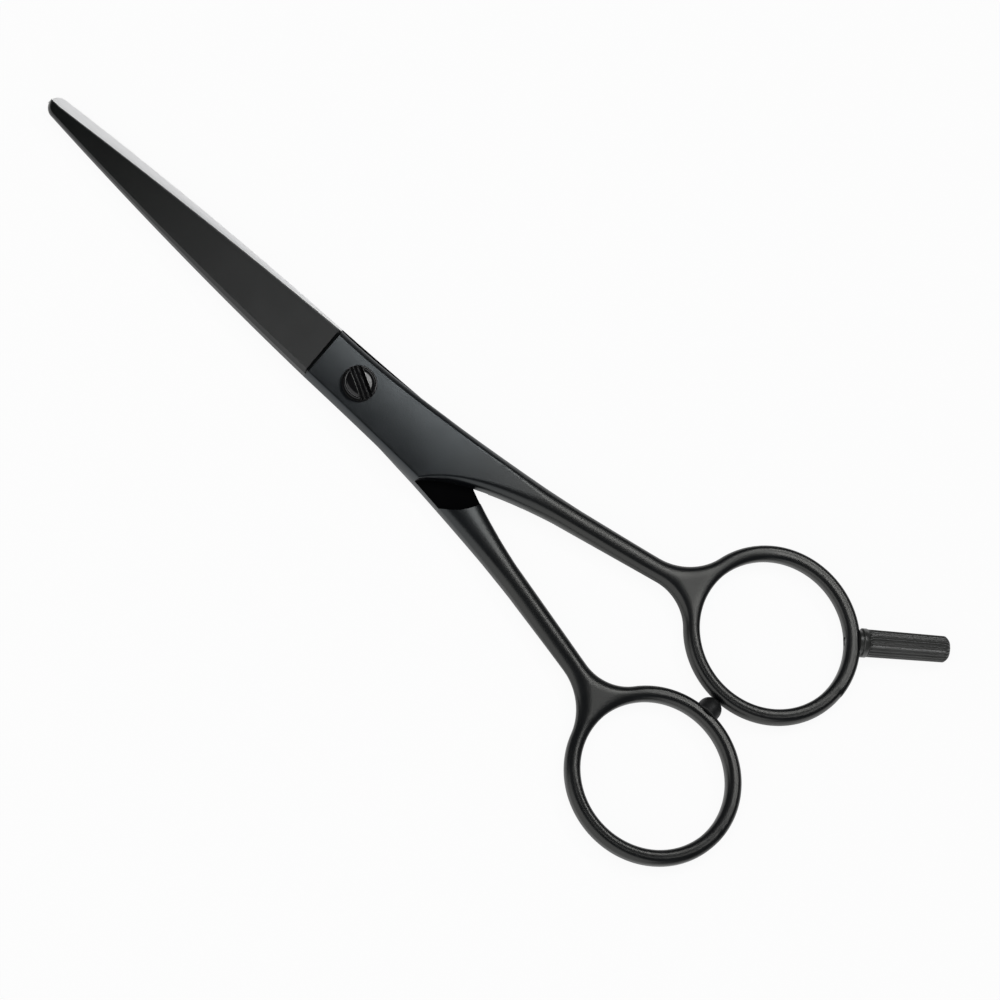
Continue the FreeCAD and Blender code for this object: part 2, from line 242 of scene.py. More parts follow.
def handle_plan(hole_radius):
    """The handle's plan as triangles, finer along its rims, with an edge along the pocket."""
    bore = circle_line(RING_CENTRE, RING_BORE)
    hole = circle_line((0, -CENTRE_LINE), hole_radius, HOLE_STEP)
    pocket = circle_line(POCKET[:2], POCKET[2])
    pocket = pocket[(pocket[:, 0] >= POCKET[0] - 0.02)]
    pocket = pocket[np.argsort(pocket[:, 1])]
    loops = [handle_rim, bore, hole]
    rims = [np.vstack((loop, loop[:1])) for loop in loops]
    x = np.arange(-STEP_REACH, RING_CENTRE[0] + RING_RADIUS, GRID_STEP)
    y = np.arange(-6, RING_CENTRE[1] + RING_RADIUS, GRID_STEP * math.sqrt(0.75))
    grid = np.array([(a + (j % 2) * GRID_STEP / 2, b) for j, b in enumerate(y) for a in x])
    grid = grid[inside(grid, rims[0])]
    near = np.min([distance(grid, rim) for rim in rims], axis=0)
    by_pocket = distance(grid, pocket)
    on_rod = (grid[:, 0] > ROD_START) & (by_pocket > POCKET_ROOM)
    grid = grid[(near > np.where(on_rod, ROD_ROWS, SHANK_ROWS)) & (by_pocket > GRID_ROOM)]
    rows = []
    for rim in rims:
        along = np.diff(rim, axis=0)
        aside = np.column_stack((-along[:, 1], along[:, 0]))
        aside = aside / np.linalg.norm(along, axis=1)[:, None]
        for depth in (*EDGE_ROWS, *CREST_ROWS):
            row = rim[:-1] + along / 2 + aside * depth * (1 if rim is rims[0] else -1)
            outward = np.linalg.norm(row - RING_CENTRE, axis=1)
            by_pocket = distance(row, pocket)
            if rim is rims[1]:
                keep = distance(row, rims[0]) > BAND_ROOM
            else:
                far = np.min([distance(row, other) for other in rims], axis=0)
                off_band = (depth <= EDGE_ROWS[-1]) | (outward > RING_RADIUS)
                keep = (far > depth * MEETING) & off_band
            keep &= by_pocket > (WALL_ROOM[0] if depth < EDGE_ROWS[-1] else WALL_ROOM[1])
            if depth > SHANK_ROWS:
                keep &= (row[:, 0] > ROD_START) & (by_pocket > POCKET_ROOM)
            rows.append(row[keep])
    points = np.vstack(loops + [pocket, grid] + rows)
    counts = np.cumsum([0] + [len(loop) for loop in loops])
    edges = [(a + k, a + (k + 1) % (b - a))
             for a, b in zip(counts, counts[1:]) for k in range(b - a)]
    edges += [(counts[3] + k, counts[3] + k + 1) for k in range(len(pocket) - 1)]
    outline = [list(range(counts[1]))]
    found = delaunay_2d_cdt([Vector(p) for p in points], edges, outline, 1, 1e-6)
    plan, triangles = np.array([tuple(p) for p in found[0]]), np.array(found[2])
    middles = plan[triangles].mean(1)
    solid = np.linalg.norm(middles - RING_CENTRE, axis=1) > RING_BORE
    solid &= np.linalg.norm(middles - (0, -CENTRE_LINE), axis=1) > hole_radius
    triangles, middles = triangles[solid], middles[solid]
    in_circle = np.linalg.norm(middles - POCKET[:2], axis=1) < POCKET[2]
    return plan, triangles, (middles[:, 0] < POCKET[0]) | in_circle


def handle_mesh(name, hole_radius):
    """One handle in its half frame, as a closed mesh in millimetres."""
    plan, triangles, in_pocket = handle_plan(hole_radius)
    depths = [distance(plan, line) for line in (spine_rim, inner_rim, outer_rim)]
    depths.append(np.abs(np.linalg.norm(plan - RING_CENTRE, axis=1) - RING_BORE))
    top = outer_face(plan, depths)
    low = inner_face(plan, depths)
    count = len(plan)
    heights = (top, low, np.full(count, RIDE))
    places = np.vstack([np.column_stack((plan, height)) for height in heights])
    under = triangles[:, ::-1] + np.where(in_pocket, 2 * count, count)[:, None]
    faces = [tuple(t) for t in triangles] + [tuple(t) for t in under]
    owner = {}
    for t, (triangle, pocketed) in enumerate(zip(triangles, in_pocket)):
        for a, b in zip(triangle, np.roll(triangle, -1)):
            owner[(int(a), int(b))] = bool(pocketed)
    for (a, b), pocketed in owner.items():
        base = 2 * count if pocketed else count
        other = owner.get((b, a))
        if other is None:
            faces.append((b, a, base + a, base + b))
        elif pocketed and not other:
            faces.append((2 * count + b, 2 * count + a, count + a, count + b))
    mesh = bpy.data.meshes.new(name)
    mesh.from_pydata([tuple(p) for p in places], [], faces)
    ride = np.zeros(len(faces), int)
    ride[len(triangles):2 * len(triangles)] = in_pocket
    mesh.polygons.foreach_set("material_index", ride)
    return mesh


def tidy(mesh, sharp_degrees=38):
    """Drops loose points and shades a mesh smooth, except over its sharp edges."""
    build = bmesh.new()
    build.from_mesh(mesh)
    bmesh.ops.delete(build, geom=[v for v in build.verts if not v.link_faces], context="VERTS")
    bmesh.ops.remove_doubles(build, verts=build.verts, dist=1e-7)
    bmesh.ops.recalc_face_normals(build, faces=build.faces)
    build.to_mesh(mesh)
    build.free()
    mesh.shade_smooth()
    mesh.set_sharp_from_angle(angle=math.radians(sharp_degrees))
    mesh.validate()


LAY_FINGER = Matrix.Translation((0, CENTRE_LINE * MM, MID_HEIGHT * MM)) @ Matrix.Scale(MM, 4)
LAY_THUMB = LAY_FINGER @ Matrix.Rotation(math.pi, 4, "X")
LAY = {"finger_half": LAY_FINGER, "thumb_half": LAY_THUMB}


def cut_by(mesh, tool):
    """A mesh with another cut out of it."""
    holder = bpy.data.objects.new("being_cut", mesh)
    other = bpy.data.objects.new("cutting", tool)
    for thing in (holder, other):
        bpy.context.scene.collection.objects.link(thing)
    modifier = holder.modifiers.new("cut", "BOOLEAN")
    modifier.object, modifier.operation, modifier.solver = other, "DIFFERENCE", "EXACT"
    ready = holder.evaluated_get(bpy.context.evaluated_depsgraph_get())
    made = bpy.data.meshes.new_from_object(ready)
    name = mesh.name
    for thing in (holder, other):
        bpy.data.objects.remove(thing)
    bpy.data.meshes.remove(mesh)
    made.name = name
    return made


def add_piece(mesh, body, slot, *nodes):
    """Puts a finished mesh in the scene under its own name, riding on its body."""
    piece = bpy.data.objects.new(mesh.name, mesh)
    bpy.context.scene.collection.objects.link(piece)
    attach(piece, body)
    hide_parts(*nodes)
    return piece


def blank_material(name):
    material = bpy.data.materials.new(name)
    material.use_nodes = True
    return material, material.node_tree, material.node_tree.nodes["Principled BSDF"]


def noise(tree, scale, detail, roughness, stretch=(1, 1, 1)):
    """A noise pattern on the piece's own coordinates; scale is its features per metre."""
    place = tree.nodes.new("ShaderNodeTexCoord")
    mapping = tree.nodes.new("ShaderNodeMapping")
    mapping.inputs["Scale"].default_value = stretch
    texture = tree.nodes.new("ShaderNodeTexNoise")
    texture.inputs["Scale"].default_value = scale
    texture.inputs["Detail"].default_value = detail
    texture.inputs["Roughness"].default_value = roughness
    tree.links.new(place.outputs["Object"], mapping.inputs["Vector"])
    tree.links.new(mapping.outputs["Vector"], texture.inputs["Vector"])
    return texture.outputs["Fac"]


def spread(tree, value, low, high, to_low, to_high):
    """Maps a pattern from one range to another."""
    node = tree.nodes.new("ShaderNodeMapRange")
    ends = {"From Min": low, "From Max": high, "To Min": to_low, "To Max": to_high}
    for socket, number in ends.items():
        node.inputs[socket].default_value = number
    tree.links.new(value, node.inputs["Value"])
    return node.outputs["Result"]


def tint(tree, value, dark, light):
    """A colour between two, by a pattern."""
    ramp = tree.nodes.new("ShaderNodeValToRGB")
    ramp.color_ramp.elements[0].color = (*dark, 1)
    ramp.color_ramp.elements[1].color = (*light, 1)
    tree.links.new(value, ramp.inputs["Fac"])
    return ramp.outputs["Color"]


def bumps(tree, shader, height, depth):
    node = tree.nodes.new("ShaderNodeBump")
    node.inputs["Distance"].default_value = depth
    tree.links.new(height, node.inputs["Height"])
    tree.links.new(node.outputs["Normal"], shader.inputs["Normal"])
    return node


def coating(name, dark, light, rough, gloss, grain=0.000002):
    """Satin black coating on blasted steel, with a fine grain and a cloudy sheen."""
    material, tree, shader = blank_material(name)
    clouds = noise(tree, scale=260, detail=4, roughness=0.6)
    speckle = noise(tree, scale=6500, detail=2, roughness=0.6)
    shade, sheen = (spread(tree, clouds, 0.3, 0.7, *ends)
                    for ends in ((0, 1), (rough * 0.92, rough * 1.1)))
    tree.links.new(tint(tree, shade, dark, light), shader.inputs["Base Color"])
    tree.links.new(sheen, shader.inputs["Roughness"])
    shader.inputs["Specular IOR Level"].default_value = gloss
    bumps(tree, shader, speckle, grain).name = "grain"
    return material


def lathe(name, profile, sides):
    """A closed turned mesh about +z, from (radius, height) points, the end ones on the axis."""
    places, faces = [(0, 0, profile[0][1])], []
    for radius, height in profile[1:-1]:
        for k in range(sides):
            angle = math.tau * k / sides
            places.append((radius * math.cos(angle), radius * math.sin(angle), height))
    places.append((0, 0, profile[-1][1]))
    rows = len(profile) - 2
    for k in range(sides):
        j = (k + 1) % sides
        faces.append((0, 1 + j, 1 + k))
        for r in range(rows - 1):
            a, b = 1 + r * sides, 1 + (r + 1) * sides
            faces.append((a + k, a + j, b + j, b + k))
        faces.append((1 + (rows - 1) * sides + k, 1 + (rows - 1) * sides + j, len(places) - 1))
    mesh = bpy.data.meshes.new(name)
    mesh.from_pydata(places, [], faces)
    return mesh


def along_x(tree, low, high):
    """A share that rises from 0 to 1 between two places along x, in millimetres."""
    place = tree.nodes.new("ShaderNodeTexCoord")
    parts = tree.nodes.new("ShaderNodeSeparateXYZ")
    tree.links.new(place.outputs["Object"], parts.inputs[0])
    return spread(tree, parts.outputs["X"], low * MM, high * MM, 0, 1)


handle_coat = coating("satin_black_coating", dark=(0.0026, 0.0031, 0.0038),
                      light=(0.0042, 0.0048, 0.0056), rough=0.3, gloss=0.74, grain=0.000006)
handle_tree = handle_coat.node_tree
handle_shader = handle_tree.nodes["Principled BSDF"]
rods = along_x(handle_tree, 16, 34)
# The reflections are tinted cool on the shank and warm on the rods: painted reflection colour, set
# by place along the handle.
painted_reflection_tint = tint(handle_tree, rods, (0.88, 0.96, 1.0), (1.0, 1.0, 0.96))
handle_tree.links.new(painted_reflection_tint, handle_shader.inputs["Specular Tint"])
handle_tree.links.new(spread(handle_tree, rods, 0, 0.4, 1.0, 0.0),      # the rods are smoother
                      handle_tree.nodes["grain"].inputs["Strength"])
# The ride pockets are near black and matt: painted shade, standing in for the deep shadow between
# the two halves.
ride_painted_shade = coating("ride_face_painted_shade", dark=(0.0008, 0.0008, 0.001),
                    light=(0.0016, 0.0016, 0.0018), rough=0.8, gloss=0.05)
REST_ANGLE = 39.5             # where the little finger's rest leaves the ring
rest_way = Vector((*(on_ring(REST_ANGLE) - RING_CENTRE), 0)).normalized()
REST_SEAT = (Matrix.Translation((*on_ring(REST_ANGLE), 0))
             @ rest_way.to_track_quat("Z", "X").to_matrix().to_4x4())
STUD_HOLE, STUD_HOLE_ENDS = 0.62, (-4.0, 1.0)
THREAD_HOLE, BUSH_HOLE = 1.53, 2.23
for body, name, hole in (("thumb_half", "thumb_handle_forging", THREAD_HOLE),
                         ("finger_half", "finger_handle_forging", BUSH_HOLE)):
    forging = handle_mesh(name, hole)
    if body == "finger_half":
        low, high = STUD_HOLE_ENDS
        stud_hole = lathe("stud_hole", [(0, low), (STUD_HOLE, low), (STUD_HOLE, high), (0, high)],
                          32)
        stud_hole.transform(REST_SEAT)
        forging = cut_by(forging, stud_hole)
    forging.transform(LAY[body])
    tidy(forging)
    forging.materials.append(handle_coat)
    forging.materials.append(ride_painted_shade)
    add_piece(forging, body, "coated_steel", body.replace("_half", "_handle"))

# The two blades: hard steel, hollow ground inside and welded on against the step across each
# shank. The outside is coated black; the ride side is ground and polished bright after coating.
BLADE_REACH = 58.6
TIP_WIDTH, TIP_MIDDLE = 1.6, {"finger_half": -0.1, "thumb_half": -1.3}
SPINE_ROOT, EDGE_ROOT = -4.67, 4.38
SPINE_BOW, EDGE_BOW = 0.55, 0.32
SPINE_HEIGHT, SPINE_BEVEL = (1.7, 0.75), (0.45, 0.15)
WALL_SHARE = 0.62
WHET_WIDTH, WHET_HEIGHT, EDGE_HEIGHT = 0.3, 0.34, 0.04
LAND, HOLLOW = 0.4, 0.14
NOSE_LENGTH, NOSE_ROWS = 1.7, 16        # the tips are rounded from the spine's side only
STEP_STATIONS, FIRST_STATION, STATION = [6.56, 6.64, 6.72, 6.82, 6.92], 7.1, 0.35
BEVEL_ROWS, BEVEL_SWELL = (0.35, 0.7), 0.02
FACE_ROWS = 12
WELD_GROOVE, WELD_MIDDLE, WELD_REACH = 0.28, 0.12, 0.28         # the groove beside the step


def blade_sides(x, tip_middle):
    """The spine's and the edge's y at a distance from the pivot axis, before the tip is rounded."""
    share = (-x - STEP_REACH) / (BLADE_REACH - STEP_REACH)
    swell = 4 * share * (1 - share)
    spine = SPINE_ROOT + (tip_middle - TIP_WIDTH / 2 - SPINE_ROOT) * share - SPINE_BOW * swell
    edge = EDGE_ROOT + (tip_middle + TIP_WIDTH / 2 - EDGE_ROOT) * share + EDGE_BOW * swell
    return spine, edge, share


def blade_ring(x, tip_middle):
    """A blade's cross-section, from the spine's foot over the outside, back by the ride side."""
    nose = NOSE_LENGTH - BLADE_REACH
    spine, edge, share = blade_sides(max(x, nose), tip_middle)
    squeeze = 1.0
    if x < nose:
        squeeze = math.sqrt(max(1 - ((nose - x) / NOSE_LENGTH) ** 2, 1e-5))
        spine = edge - (edge - spine) * squeeze
    height = SPINE_HEIGHT[0] + (SPINE_HEIGHT[1] - SPINE_HEIGHT[0]) * share
    bevel = (SPINE_BEVEL[0] + (SPINE_BEVEL[1] - SPINE_BEVEL[0]) * share) * squeeze
    whet, land = WHET_WIDTH * squeeze, LAND * squeeze
    hollow = HOLLOW * 27 / 4 * share * (1 - share) ** 2 * squeeze
    foot = RIDE
    crease = np.array((spine + bevel, foot + height))
    shoulder = np.array((edge - whet, foot + WHET_HEIGHT))
    outside = [(spine, foot + part * WALL_SHARE * height) for part in (0, 0.5, 1)]
    for t in BEVEL_ROWS:
        rise = height * (WALL_SHARE + (1 - WALL_SHARE) * t)
        outside.append((spine + bevel * t, foot + rise + BEVEL_SWELL * squeeze))
    outside.append(tuple(crease))
    outside += [tuple(crease + (shoulder - crease) * t) for t in np.linspace(0, 1, FACE_ROWS)[1:-1]]
    outside += [tuple(shoulder), (edge - whet / 2, foot + (WHET_HEIGHT + EDGE_HEIGHT) / 2),
                (edge, foot + EDGE_HEIGHT)]
    ride = [(edge - land, foot)]
    for t in np.linspace(0, 1, FACE_ROWS)[1:-1]:
        y = edge - land + (spine - edge + 2 * land) * t
        ride.append((y, foot + hollow * 4 * t * (1 - t)))
    ride.append((spine + land, foot))
    dip = max(0.0, 1 - abs(-x - STEP_REACH - WELD_MIDDLE) / WELD_REACH)
    outside = [(y, z - (WELD_GROOVE * dip if 3 <= i < len(outside) - 2 else 0))
               for i, (y, z) in enumerate(outside)]
    return outside + ride, len(outside)


COATED, GROUND, SPINE = 0, 1, 2         # the order of a blade's materials
SPINE_ROWS = 5


def blade_mesh(name, tip_middle):
    """One blade in its half frame, as a closed mesh in millimetres."""
    reach = [STEP_REACH, *STEP_STATIONS]
    reach += list(np.arange(FIRST_STATION, BLADE_REACH - NOSE_LENGTH, STATION))
    reach += [BLADE_REACH - NOSE_LENGTH * (1 - math.sin(k * math.pi / 2 / NOSE_ROWS))
              for k in range(NOSE_ROWS + 1)]
    rings = []
    for r in reach:
        points, outside = blade_ring(-r, tip_middle)
        rings.append([(-r, y, z) for y, z in points])
    count = len(rings[0])
    places = [p for ring in rings for p in ring]
    faces, finish = [], []
    for k in range(len(rings) - 1):
        for i in range(count):
            j = (i + 1) % count
            faces.append((k * count + i, (k + 1) * count + i, (k + 1) * count + j, k * count + j))
            finish.append(GROUND if i >= outside - 1 else SPINE if i < SPINE_ROWS else COATED)
    faces.append(tuple(range(count)))
    faces.append(tuple((len(rings) - 1) * count + i for i in reversed(range(count))))
    finish += [COATED, COATED]
    mesh = bpy.data.meshes.new(name)
    mesh.from_pydata(places, [], faces)
    mesh.polygons.foreach_set("material_index", finish)
    return mesh


def ground_steel(name):
    """Bright steel, ground and polished: fine streaks along the blade."""
    material, tree, shader = blank_material(name)
    streaks = noise(tree, scale=2600, detail=3, roughness=0.6, stretch=(0.06, 1, 1))
    silver = tint(tree, streaks, (0.84, 0.84, 0.845), (0.93, 0.93, 0.93))
    tree.links.new(silver, shader.inputs["Base Color"])
    tree.links.new(spread(tree, streaks, 0.3, 0.7, 0.32, 0.4), shader.inputs["Roughness"])
    shader.inputs["Metallic"].default_value = 0.3
    bumps(tree, shader, streaks, 0.0000006)
    return material


COAT_DARK, COAT_LIGHT = (0.0034, 0.004, 0.0038), (0.0052, 0.006, 0.0056)
blade_coat = coating("blade_black_coating", COAT_DARK, COAT_LIGHT, rough=0.34, gloss=0.35)
blade_tree = blade_coat.node_tree
# The face reflects more towards its root than at its tip: painted light, the fall-off of the strip
# light's sheen along the blade.
blade_tree.links.new(spread(blade_tree, along_x(blade_tree, -46, -4), 0, 1, 0.18, 0.5),
                     blade_tree.nodes["Principled BSDF"].inputs["Specular IOR Level"])
spine_coat = coating("blade_spine_coating", COAT_DARK, COAT_LIGHT, rough=0.3, gloss=0.75)
bright_steel = ground_steel("ground_bright_steel")
BLADE_SHARP = 12              # degrees, above which an edge of a blade is shaded sharp
for body, name in (("thumb_half", "thumb_blade_steel"), ("finger_half", "finger_blade_steel")):
    steel = blade_mesh(name, TIP_MIDDLE[body])
    steel.transform(LAY[body])
    tidy(steel, BLADE_SHARP)
    for finish in (blade_coat, bright_steel, spine_coat):
        steel.materials.append(finish)
    add_piece(steel, body, "blade_steel", body.replace("_half", "_blade"))

# The bumper: a black rubber button pushed into the side of the thumb ring, so that the closed
# rings meet softly. It has a slight moulded lip where it sits on the ring.
BUMPER_RADIUS, BUMPER_SEAT, BUMPER_GAP = 1.75, 0.6, 0.08
BUMPER_FOOT = [(1.62, -BUMPER_SEAT), (BUMPER_RADIUS, -0.45), (BUMPER_RADIUS, -0.1)]
bumper_height = 2 * (RING_CENTRE[1] - RING_RADIUS) - BUMPER_GAP
shoulder_height = bumper_height - BUMPER_RADIUS
dome = [(BUMPER_RADIUS * math.cos(a), shoulder_height + BUMPER_RADIUS * math.sin(a))
        for a in np.linspace(0, math.pi / 2, 20)[:-1]]
button = lathe("bumper_button", [(0, -BUMPER_SEAT)] + BUMPER_FOOT + dome + [(0, bumper_height)], 72)
button.transform(Matrix.Translation((RING_CENTRE[0], RING_CENTRE[1] - RING_RADIUS, 0))
                 @ Matrix.Rotation(math.pi / 2, 4, "X"))
button.transform(LAY_THUMB)
tidy(button)
rubber, rubber_tree, rubber_shader = blank_material("black_rubber")
rubber_marks = noise(rubber_tree, scale=1800, detail=4, roughness=0.6)
rubber_black = tint(rubber_tree, rubber_marks, (0.005, 0.0054, 0.0056), (0.011, 0.0115, 0.0118))
rubber_tree.links.new(rubber_black, rubber_shader.inputs["Base Color"])
rubber_tree.links.new(spread(rubber_tree, rubber_marks, 0.3, 0.7, 0.42, 0.55),
                      rubber_shader.inputs["Roughness"])
rubber_shader.inputs["Specular IOR Level"].default_value = 0.45
bumps(rubber_tree, rubber_shader, rubber_marks, 0.000006)
button.materials.append(rubber)
add_piece(button, "thumb_half", "rubber", "bumper")

# The rest for the little finger: a turned steel pin with a collar and fluted sides, screwed into
# the finger ring and coated like the handles.
STUD_RADIUS, STUD_LENGTH = 0.6, 2.1
STUD = [(0, -STUD_LENGTH), (STUD_RADIUS, -STUD_LENGTH), (STUD_RADIUS, -0.3)]
COLLAR = [(1.8, -0.3), (1.8, 0.2), (2.0, 0.2), (2.06, 0.26), (2.06, 0.87), (2.02, 0.92)]
NECK = [(1.86, 0.95), (1.86, 1.0), (1.9, 1.03), (1.95, 1.09)]
PIN_RADIUS, PIN_FOOT, PIN_TAPER, PIN_LENGTH, PIN_ROWS = 1.96, 1.2, 0.1, 11.34, 36
PIN_END = [(1.62, 12.86), (1.38, 13.06), (1.2, 13.1), (0.6, 13.1), (0, 13.1)]
pin_side = [(PIN_RADIUS - PIN_TAPER * t, PIN_FOOT + PIN_LENGTH * t)
            for t in np.linspace(0, 1, PIN_ROWS)]
rest_profile = STUD + COLLAR + NECK + pin_side + PIN_END
FLUTES, FLUTE_DEPTH, FLUTE_ENDS, REST_SIDES = 24, 0.13, (1.1, 13.0), 192


def flute_tree():
    """Cuts evenly spaced flutes along a turned pin that stands on +z."""
    tree = bpy.data.node_groups.new("rest_flutes", "GeometryNodeTree")
    face = tree.interface
    face.new_socket("Geometry", in_out="INPUT", socket_type="NodeSocketGeometry")
    for name, kind in (("Flutes", "NodeSocketFloat"), ("Depth", "NodeSocketFloat"),
                       ("Low end", "NodeSocketFloat"), ("High end", "NodeSocketFloat"),
                       ("Finish", "NodeSocketMaterial")):
        face.new_socket(name, in_out="INPUT", socket_type=kind)
    face.new_socket("Geometry", in_out="OUTPUT", socket_type="NodeSocketGeometry")
    nodes, links = tree.nodes, tree.links
    start, end = nodes.new("NodeGroupInput"), nodes.new("NodeGroupOutput")
    place, split = nodes.new("GeometryNodeInputPosition"), nodes.new("ShaderNodeSeparateXYZ")
    links.new(place.outputs[0], split.inputs[0])

    def maths(kind, a, b=None):
        node = nodes.new("ShaderNodeMath")
        node.operation = kind
        for socket, value in zip(node.inputs, (a, b)):
            if hasattr(value, "is_output"):
                links.new(value, socket)
            elif value is not None:
                socket.default_value = value
        return node.outputs[0]

    angle = maths("ARCTAN2", split.outputs["Y"], split.outputs["X"])
    wave = maths("COSINE", maths("MULTIPLY", angle, start.outputs["Flutes"]))
    hollow = maths("POWER", maths("MULTIPLY", maths("SUBTRACT", 1.0, wave), 0.5), 0.8)
    groove = maths("MULTIPLY", hollow, start.outputs["Depth"])
    above = maths("GREATER_THAN", split.outputs["Z"], start.outputs["Low end"])
    below = maths("LESS_THAN", split.outputs["Z"], start.outputs["High end"])
    amount = maths("MULTIPLY", groove, maths("MULTIPLY", above, below))
    flat = nodes.new("ShaderNodeCombineXYZ")
    links.new(split.outputs["X"], flat.inputs["X"])
    links.new(split.outputs["Y"], flat.inputs["Y"])
    unit, inward = nodes.new("ShaderNodeVectorMath"), nodes.new("ShaderNodeVectorMath")
    unit.operation, inward.operation = "NORMALIZE", "SCALE"
    links.new(flat.outputs[0], unit.inputs[0])
    links.new(unit.outputs[0], inward.inputs[0])
    links.new(maths("MULTIPLY", amount, -1.0), inward.inputs["Scale"])
    shift, real, dress = (nodes.new(kind) for kind in (
        "GeometryNodeSetPosition", "GeometryNodeRealizeInstances", "GeometryNodeSetMaterial"))
    links.new(start.outputs["Geometry"], shift.inputs["Geometry"])
    links.new(inward.outputs[0], shift.inputs["Offset"])
    links.new(shift.outputs["Geometry"], real.inputs["Geometry"])
    links.new(real.outputs["Geometry"], dress.inputs["Geometry"])
    links.new(start.outputs["Finish"], dress.inputs["Material"])
    links.new(dress.outputs["Geometry"], end.inputs["Geometry"])
    return tree


def grown(mesh, tree, **values):
    """Runs a Geometry Nodes tree on a mesh and returns the plain mesh that it makes."""
    holder = bpy.data.objects.new("being_made", mesh)
    bpy.context.scene.collection.objects.link(holder)
    modifier = holder.modifiers.new("made_by", "NODES")
    modifier.node_group = tree
    for item in tree.interface.items_tree:
        if item.item_type == "SOCKET" and item.in_out == "INPUT" and item.name in values:
            modifier[item.identifier] = values[item.name]
    ready = holder.evaluated_get(bpy.context.evaluated_depsgraph_get())
    made = bpy.data.meshes.new_from_object(ready)
    name = mesh.name
    holder.modifiers.remove(modifier)
    bpy.data.objects.remove(holder)
    bpy.data.meshes.remove(mesh)
    made.name = name
    return made


rest_coat = coating("rest_black_coating", dark=(0.022, 0.0228, 0.0212),
                    light=(0.034, 0.035, 0.033), rough=0.34, gloss=0.9)
pin = grown(lathe("finger_rest_pin", rest_profile, REST_SIDES), flute_tree(),
            **{"Flutes": float(FLUTES), "Depth": FLUTE_DEPTH, "Low end": FLUTE_ENDS[0],
               "High end": FLUTE_ENDS[1], "Finish": rest_coat})
pin.transform(LAY_FINGER @ REST_SEAT)
tidy(pin, 40)
add_piece(pin, "finger_half", "coated_steel", "finger_rest")

# The pivot: a bronze bush pressed into the finger shank, a thin nylon washer on it, and the
# slotted tension screw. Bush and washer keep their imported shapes.
bronze, bronze_tree, bronze_shader = blank_material("bearing_bronze")
bronze_marks = noise(bronze_tree, scale=1500, detail=3, roughness=0.6, stretch=(1, 1, 4))
bronze_tree.links.new(tint(bronze_tree, bronze_marks, (0.42, 0.26, 0.11), (0.55, 0.37, 0.18)),
                      bronze_shader.inputs["Base Color"])
bronze_tree.links.new(spread(bronze_tree, bronze_marks, 0.3, 0.7, 0.3, 0.45),
                      bronze_shader.inputs["Roughness"])
bronze_shader.inputs["Metallic"].default_value = 1.0
bumps(bronze_tree, bronze_shader, bronze_marks, 0.000003)
nylon, nylon_tree, nylon_shader = blank_material("black_nylon")
nylon_marks = noise(nylon_tree, scale=2500, detail=3, roughness=0.6)
nylon_tree.links.new(tint(nylon_tree, nylon_marks, (0.006, 0.006, 0.006), (0.011, 0.011, 0.011)),
                     nylon_shader.inputs["Base Color"])
nylon_tree.links.new(spread(nylon_tree, nylon_marks, 0.3, 0.7, 0.45, 0.6),
                     nylon_shader.inputs["Roughness"])
bumps(nylon_tree, nylon_shader, nylon_marks, 0.000003)
for node, material, slot in (("pivot_bush", bronze, "bush_bronze"),
                             ("friction_washer", nylon, "washer_plastic")):
    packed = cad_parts[node]
    packed.data.materials.clear()
    packed.data.materials.append(material)

SLOT_WIDTH, SLOT_DEPTH, SLOT_ANGLE = 1.9, 0.6, -30.0
SEAT, TOP = 4.69, 5.64                  # heights of the head's underside and of its crown
HEAD, JOURNAL, THREAD = 2.5, 1.7, 1.5   # radii
SHANK = [(0, 0.15), (1.35, 0.15), (THREAD, 0.3), (THREAD, MID_HEIGHT), (JOURNAL, MID_HEIGHT),
         (JOURNAL, SEAT), (2.44, SEAT), (HEAD, SEAT + 0.06), (HEAD, TOP - 0.56)]
HEAD_RIM = [(2.48, 0.47), (2.42, 0.4), (2.34, 0.375), (2.24, 0.37), (2.18, 0.385), (2.12, 0.36)]
HEAD_DOME = [(2.05, 0.3), (1.9, 0.205), (1.75, 0.13), (1.62, 0.085), (1.5, 0.068), (1.2, 0.043),
             (0.9, 0.02), (0.5, 0.006), (0, 0)]
screw_profile = SHANK + [(radius, TOP - drop) for radius, drop in HEAD_RIM + HEAD_DOME]
screw = lathe("pivot_screw_turned", screw_profile, 160)
cutter = bpy.data.meshes.new("slot_cutter")
block = bmesh.new()
bmesh.ops.create_cube(block, size=1.0)
block.to_mesh(cutter)
block.free()
cutter.transform(Matrix.Rotation(math.radians(SLOT_ANGLE), 4, "Z")
                 @ Matrix.Translation((0, 0, TOP - SLOT_DEPTH + 0.5))
                 @ Matrix.Diagonal((4 * HEAD, SLOT_WIDTH, 1.0, 1)))
screw = cut_by(screw, cutter)
screw.transform(Matrix.Scale(MM, 4))
tidy(screw, 30)


def screw_steel(name, rough, gloss):
    """Dark polished steel with marks, and the slot's own coordinates: y runs across it."""
    material, tree, shader = blank_material(name)
    marks = noise(tree, scale=1800, detail=3, roughness=0.6)
    tree.links.new(spread(tree, marks, 0.3, 0.7, rough * 0.8, rough * 1.3),
                   shader.inputs["Roughness"])
    shader.inputs["Specular IOR Level"].default_value = gloss
    place, turn = tree.nodes.new("ShaderNodeTexCoord"), tree.nodes.new("ShaderNodeMapping")
    turn.inputs["Rotation"].default_value = (0, 0, math.radians(-SLOT_ANGLE))
    tree.links.new(place.outputs["Object"], turn.inputs["Vector"])
    return material, tree, shader, marks, turn.outputs["Vector"]


def screw_maths(tree, kind, a, b):
    node = tree.nodes.new("ShaderNodeMath")
    node.operation = kind
    tree.links.new(a, node.inputs[0])
    if hasattr(b, "is_output"):
        tree.links.new(b, node.inputs[1])
    else:
        node.inputs[1].default_value = b
    return node.outputs[0]


dark_steel, tree, shader, marks, across = screw_steel("dark_screw_steel", rough=0.16, gloss=0.6)
parts = tree.nodes.new("ShaderNodeSeparateXYZ")
tree.links.new(across, parts.inputs[0])
